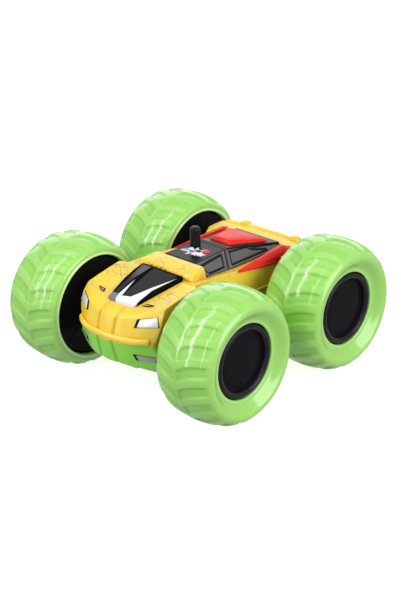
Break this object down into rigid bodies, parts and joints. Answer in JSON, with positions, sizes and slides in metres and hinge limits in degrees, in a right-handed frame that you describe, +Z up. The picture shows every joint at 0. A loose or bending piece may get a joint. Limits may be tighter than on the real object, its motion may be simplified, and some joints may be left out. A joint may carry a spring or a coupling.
{
  "type": "rc stunt car",
  "caption": "Double-sided radio-controlled stunt car with mirrored upper and lower body shells, large soft treaded wheels and a geared motor for each rear wheel.",
  "frame": {"origin": "on the ground under the middle of the car", "axes": "-Y forward, +Y to the rear, +X to the car's left, +Z up"},
  "size_m": [0.142, 0.1502, 0.073],
  "materials": {
    "yellow_plastic": "satin moulded",
    "green_plastic": "satin moulded",
    "green_vinyl": "soft satin",
    "black_gloss": "gloss",
    "red_plastic": "gloss",
    "white_lens": "gloss",
    "frame_plastic": "matt moulded",
    "steel": "plated",
    "motor_can": "drawn",
    "white_nylon": "satin",
    "brass": "machined",
    "board_green": "solder mask",
    "cell_wrap": "shrink wrap",
    "switch_plastic": "matt moulded"
  },
  "bodies": {
    "chassis": {"upper_shell": "yellow_plastic", "lower_shell": "green_plastic", "upper_canopy": "black_gloss", "battery_cover": "black_gloss", "upper_hood_insert": "black_gloss", "lower_hood_insert": "black_gloss", "upper_engine_cover": "red_plastic", "lower_engine_cover": "red_plastic", "upper_left_strake": "red_plastic", "upper_right_strake": "red_plastic", "lower_left_strake": "red_plastic", "lower_right_strake": "red_plastic", "upper_left_headlight": "white_lens", "upper_right_headlight": "white_lens", "lower_left_headlight": "white_lens", "lower_right_headlight": "white_lens", "antenna_post": "black_gloss", "chassis_frame": "frame_plastic", "left_gearbox_cover": "frame_plastic", "right_gearbox_cover": "frame_plastic", "left_motor": "motor_can", "right_motor": "motor_can", "battery_pack": "cell_wrap", "control_board": "board_green", "battery_cover_screw": "steel", "front_left_body_screw": "steel", "front_right_body_screw": "steel", "rear_left_body_screw": "steel", "rear_right_body_screw": "steel", "front_left_bush": "white_nylon", "front_right_bush": "white_nylon", "rear_left_bush": "white_nylon", "rear_right_bush": "white_nylon"},
    "front_left_wheel": {"front_left_tyre": "green_vinyl", "front_left_wheel_drum": "black_gloss", "front_left_hub_cap": "black_gloss", "front_left_wheel_screw": "steel", "front_left_axle": "steel"},
    "front_right_wheel": {"front_right_tyre": "green_vinyl", "front_right_wheel_drum": "black_gloss", "front_right_hub_cap": "black_gloss", "front_right_wheel_screw": "steel", "front_right_axle": "steel"},
    "rear_left_wheel": {"rear_left_tyre": "green_vinyl", "rear_left_wheel_drum": "black_gloss", "rear_left_hub_cap": "black_gloss", "rear_left_wheel_screw": "steel", "rear_left_axle": "steel", "left_axle_gear": "white_nylon"},
    "rear_right_wheel": {"rear_right_tyre": "green_vinyl", "rear_right_wheel_drum": "black_gloss", "rear_right_hub_cap": "black_gloss", "rear_right_wheel_screw": "steel", "rear_right_axle": "steel", "right_axle_gear": "white_nylon"},
    "left_reduction": {"left_reduction_gear": "white_nylon"},
    "left_motor_pinion": {"left_pinion": "brass"},
    "right_reduction": {"right_reduction_gear": "white_nylon"},
    "right_motor_pinion": {"right_pinion": "brass"},
    "switch": {"power_switch": "switch_plastic"}
  },
  "joints": [
    {"name": "front_left_wheel_spin", "type": "hinge", "parent": "chassis", "child": "front_left_wheel", "pos_m": [0.052, -0.0401, 0.035], "axis": [1, 0, 0], "continuous": true},
    {"name": "front_right_wheel_spin", "type": "hinge", "parent": "chassis", "child": "front_right_wheel", "pos_m": [-0.052, -0.0401, 0.035], "axis": [1, 0, 0], "continuous": true},
    {"name": "rear_left_wheel_spin", "type": "hinge", "parent": "chassis", "child": "rear_left_wheel", "pos_m": [0.052, 0.0401, 0.035], "axis": [1, 0, 0], "continuous": true},
    {"name": "rear_right_wheel_spin", "type": "hinge", "parent": "chassis", "child": "rear_right_wheel", "pos_m": [-0.052, 0.0401, 0.035], "axis": [1, 0, 0], "continuous": true},
    {"name": "left_reduction_spin", "type": "hinge", "parent": "chassis", "child": "left_reduction", "pos_m": [0.019, 0.0375, 0.04466], "axis": [1, 0, 0], "continuous": true},
    {"name": "left_pinion_spin", "type": "hinge", "parent": "chassis", "child": "left_motor_pinion", "pos_m": [0.018, 0.0474, 0.04325], "axis": [1, 0, 0], "continuous": true},
    {"name": "right_reduction_spin", "type": "hinge", "parent": "chassis", "child": "right_reduction", "pos_m": [-0.019, 0.0375, 0.04466], "axis": [1, 0, 0], "continuous": true},
    {"name": "right_pinion_spin", "type": "hinge", "parent": "chassis", "child": "right_motor_pinion", "pos_m": [-0.018, 0.0474, 0.04325], "axis": [1, 0, 0], "continuous": true},
    {"name": "power_switch_slide", "type": "slide", "parent": "chassis", "child": "switch", "axis": [1, 0, 0], "range_m": [0, 0.004]}
  ],
  "couplings": [
    {"joint": "left_reduction_spin", "follows": "rear_left_wheel_spin", "ratio": -3},
    {"joint": "left_pinion_spin", "follows": "rear_left_wheel_spin", "ratio": 8.4},
    {"joint": "right_reduction_spin", "follows": "rear_right_wheel_spin", "ratio": -3},
    {"joint": "right_pinion_spin", "follows": "rear_right_wheel_spin", "ratio": 8.4}
  ]
}
